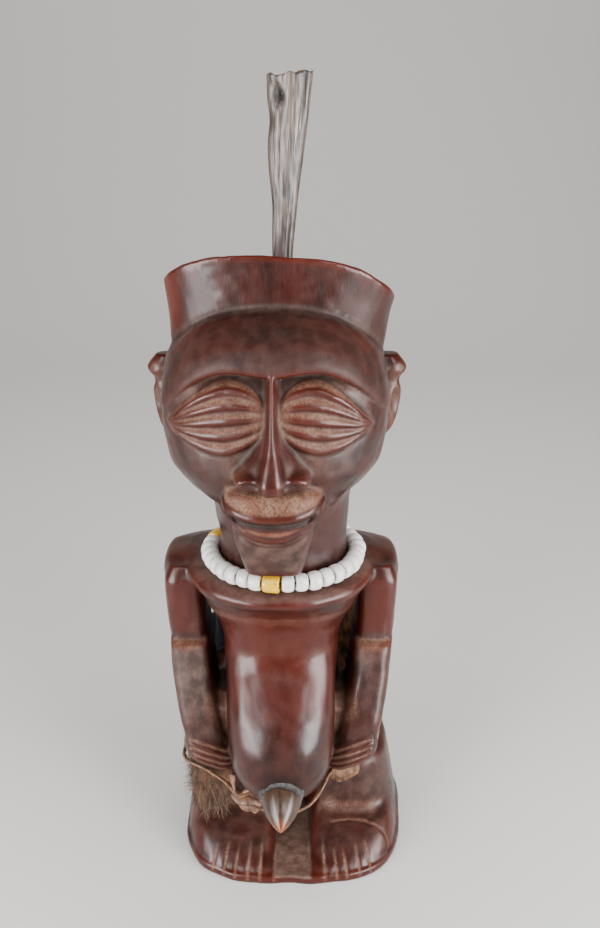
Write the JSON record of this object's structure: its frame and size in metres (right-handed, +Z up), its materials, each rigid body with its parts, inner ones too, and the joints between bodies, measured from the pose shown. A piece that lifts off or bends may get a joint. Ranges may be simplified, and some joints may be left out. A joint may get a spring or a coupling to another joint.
{
  "type": "power figure",
  "caption": "Standing carved wood power figure with hands on its belly, horn in the crown, horn navel, bead necklace and a hide tied round the hips.",
  "frame": {"origin": "on the flat underside of the plate that the feet stand on, midway between the plate's left and right edges and under the fronts of the legs", "axes": "+Z up through the figure; the figure faces -Y, so its own left side is at +X"},
  "size_m": [0.1258, 0.1677, 0.4022],
  "materials": {
    "wood": "dark red-brown hardwood, oiled and rubbed, dusty in the cuts",
    "horn": "weathered grey-brown antelope horn, dull and fibrous",
    "polished_horn": "polished brown horn",
    "packing": "dull dark grey resin and earth",
    "white_glass": "opaque white glass, glossy",
    "yellow_glass": "opaque yellow glass, glossy",
    "thread": "twisted plant-fibre thread",
    "rawhide": "dry untanned hide, tan",
    "fur": "hide with its brown hair left on",
    "cloth": "dark indigo woven cloth, worn"
  },
  "bodies": {
    "root": {"figure": "wood", "head_horn": "horn", "navel_horn_tip": "polished_horn", "navel_packing": "packing", "bead_white_01": "white_glass", "bead_white_02": "white_glass", "bead_white_03": "white_glass", "bead_white_04": "white_glass", "bead_white_05": "white_glass", "bead_white_06": "white_glass", "bead_white_07": "white_glass", "bead_white_08": "white_glass", "bead_white_09": "white_glass", "bead_white_10": "white_glass", "bead_white_11": "white_glass", "bead_white_12": "white_glass", "bead_white_13": "white_glass", "bead_white_14": "white_glass", "bead_white_15": "white_glass", "bead_white_16": "white_glass", "bead_white_17": "white_glass", "bead_white_18": "white_glass", "bead_white_19": "white_glass", "bead_white_20": "white_glass", "bead_white_21": "white_glass", "bead_white_22": "white_glass", "bead_white_23": "white_glass", "bead_white_24": "white_glass", "bead_white_25": "white_glass", "bead_white_26": "white_glass", "bead_white_27": "white_glass", "bead_white_28": "white_glass", "bead_white_29": "white_glass", "bead_white_30": "white_glass", "bead_white_31": "white_glass", "bead_white_32": "white_glass", "bead_yellow_01": "yellow_glass", "bead_yellow_02": "yellow_glass", "bead_yellow_03": "yellow_glass", "necklace_thread": "thread", "hip_thong": "rawhide", "hide_knot": "rawhide", "hip_hide": "fur", "hide_flap": "rawhide", "back_cloth": "cloth"}
  },
  "joints": []
}
